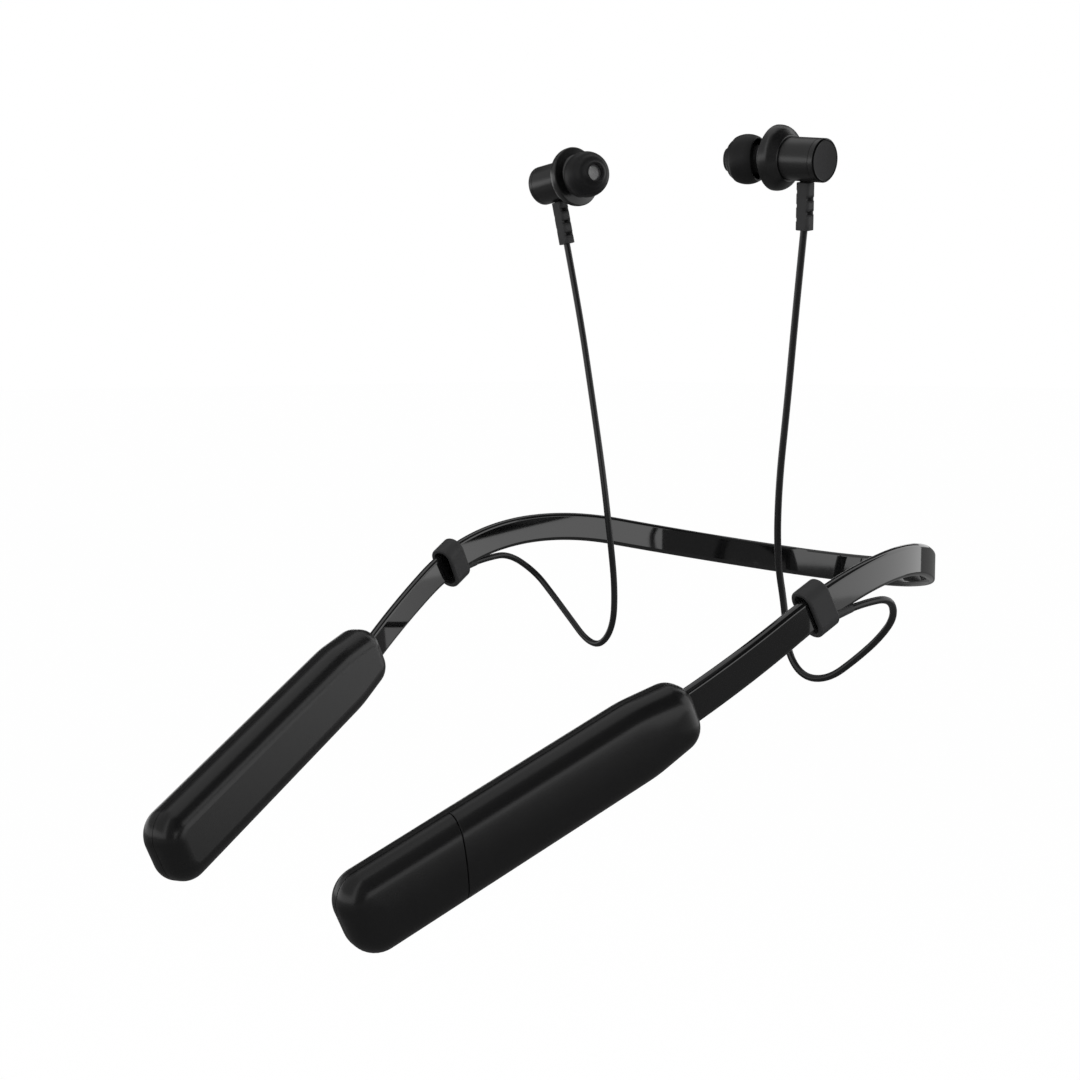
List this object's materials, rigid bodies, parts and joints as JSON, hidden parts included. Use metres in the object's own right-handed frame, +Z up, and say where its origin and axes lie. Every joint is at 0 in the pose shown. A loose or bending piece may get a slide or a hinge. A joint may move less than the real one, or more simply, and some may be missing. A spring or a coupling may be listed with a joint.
{
  "type": "neckband earphones",
  "caption": "Neckband with a thin curved strap, a slim pod at each end, and a wired in-ear bud hanging on a cord from each arm.",
  "frame": {"origin": "middle of the strap's inner face at the back of the neck, half way up the strap", "axes": "+X towards the wearer's left, -Y forward, +Z up, as worn"},
  "size_m": [0.1332, 0.2155, 0.1732],
  "materials": {
    "strap": "gloss",
    "pod": "satin",
    "button": "satin",
    "rubber": "matte",
    "cord": "satin",
    "silicone": "satin",
    "bud_metal": "brushed",
    "nozzle_metal": "satin",
    "mesh": "woven",
    "spring_steel": "bright",
    "wire": "satin",
    "anchor": "satin",
    "board": "satin",
    "steel": "bright",
    "chip": "matte",
    "switch_metal": "bright",
    "light_pipe": "frosted",
    "led": "gloss",
    "cell": "satin",
    "foam": "soft",
    "magnet": "plated",
    "film": "satin"
  },
  "bodies": {
    "neckband": {"neck_strap": "strap", "strap_spring": "spring_steel", "strap_ribbon_wire": "wire", "left_pod_inner_shell": "pod", "left_pod_outer_cover": "pod", "left_pod_end_cover": "pod", "left_strap_anchor": "anchor", "left_cord": "cord", "left_cord_outlet": "rubber", "right_pod_inner_shell": "pod", "right_pod_outer_cover": "pod", "right_pod_end_cover": "pod", "right_strap_anchor": "anchor", "right_cord": "cord", "right_cord_outlet": "rubber", "main_board": "board", "board_screws": "steel", "tact_switches": "switch_metal", "status_led": "led", "led_light_pipe": "light_pipe", "radio_chip": "chip", "microphone": "switch_metal", "vibration_motor": "steel", "charging_port": "steel", "battery_cell": "cell", "battery_foam_pads": "foam", "battery_guard_board": "board"},
    "port_flap": {"port_flap": "rubber"},
    "volume_up_button": {"volume_up_button": "button"},
    "multifunction_button": {"multifunction_button": "button"},
    "volume_down_button": {"volume_down_button": "button"},
    "left_keeper": {"left_cord_keeper": "rubber"},
    "right_keeper": {"right_cord_keeper": "rubber"},
    "left_bud": {"left_bud_front_housing": "bud_metal", "left_bud_barrel": "bud_metal", "left_bud_back_cap": "bud_metal", "left_bud_nozzle": "nozzle_metal", "left_nozzle_mesh": "mesh", "left_driver_frame": "anchor", "left_driver_magnet": "magnet", "left_driver_diaphragm": "film", "left_strain_relief": "rubber"},
    "left_tip": {"left_ear_tip": "silicone"},
    "right_bud": {"right_bud_front_housing": "bud_metal", "right_bud_barrel": "bud_metal", "right_bud_back_cap": "bud_metal", "right_bud_nozzle": "nozzle_metal", "right_nozzle_mesh": "mesh", "right_driver_frame": "anchor", "right_driver_magnet": "magnet", "right_driver_diaphragm": "film", "right_strain_relief": "rubber"},
    "right_tip": {"right_ear_tip": "silicone"}
  },
  "joints": [
    {"name": "volume_up_press", "type": "slide", "parent": "neckband", "child": "volume_up_button", "axis": [0.9686, 0.2376, 0.0729], "range_m": [0, 0.00025], "stiffness_N_per_m": 6400, "springref_m": -0.00003},
    {"name": "multifunction_press", "type": "slide", "parent": "neckband", "child": "multifunction_button", "axis": [0.9686, 0.2376, 0.0729], "range_m": [0, 0.00025], "stiffness_N_per_m": 6400, "springref_m": -0.00003},
    {"name": "volume_down_press", "type": "slide", "parent": "neckband", "child": "volume_down_button", "axis": [0.9686, 0.2376, 0.0729], "range_m": [0, 0.00025], "stiffness_N_per_m": 6400, "springref_m": -0.00003},
    {"name": "port_flap_hinge", "type": "hinge", "parent": "neckband", "child": "port_flap", "pos_m": [-0.05068, -0.14699, -0.03113], "axis": [0.9686, 0.2376, 0.0729], "range_deg": [0, 100]},
    {"name": "left_keeper_slide", "type": "slide", "parent": "neckband", "child": "left_keeper", "axis": [-0.1582, -0.8668, -0.4729], "range_m": [0, 0.014]},
    {"name": "right_keeper_slide", "type": "slide", "parent": "neckband", "child": "right_keeper", "axis": [0.1582, -0.8668, -0.4729], "range_m": [0, 0.014]},
    {"name": "left_bud_flex", "type": "hinge", "parent": "neckband", "child": "left_bud", "pos_m": [0.04091, -0.07765, 0.09615], "axis": [-0.0352, 0.989, 0.1434], "range_deg": [-25, 25], "stiffness_Nm_per_rad": 0.03, "deforming": ["left_strain_relief"]},
    {"name": "left_tip_pull", "type": "slide", "parent": "left_bud", "child": "left_tip", "axis": [-0.9513, -0.3073, 0.0243], "range_m": [0, 0.006]},
    {"name": "right_bud_flex", "type": "hinge", "parent": "neckband", "child": "right_bud", "pos_m": [-0.04091, -0.07765, 0.09615], "axis": [-0.0352, -0.989, -0.1434], "range_deg": [-25, 25], "stiffness_Nm_per_rad": 0.03, "deforming": ["right_strain_relief"]},
    {"name": "right_tip_pull", "type": "slide", "parent": "right_bud", "child": "right_tip", "axis": [0.9513, -0.3073, 0.0243], "range_m": [0, 0.006]}
  ]
}
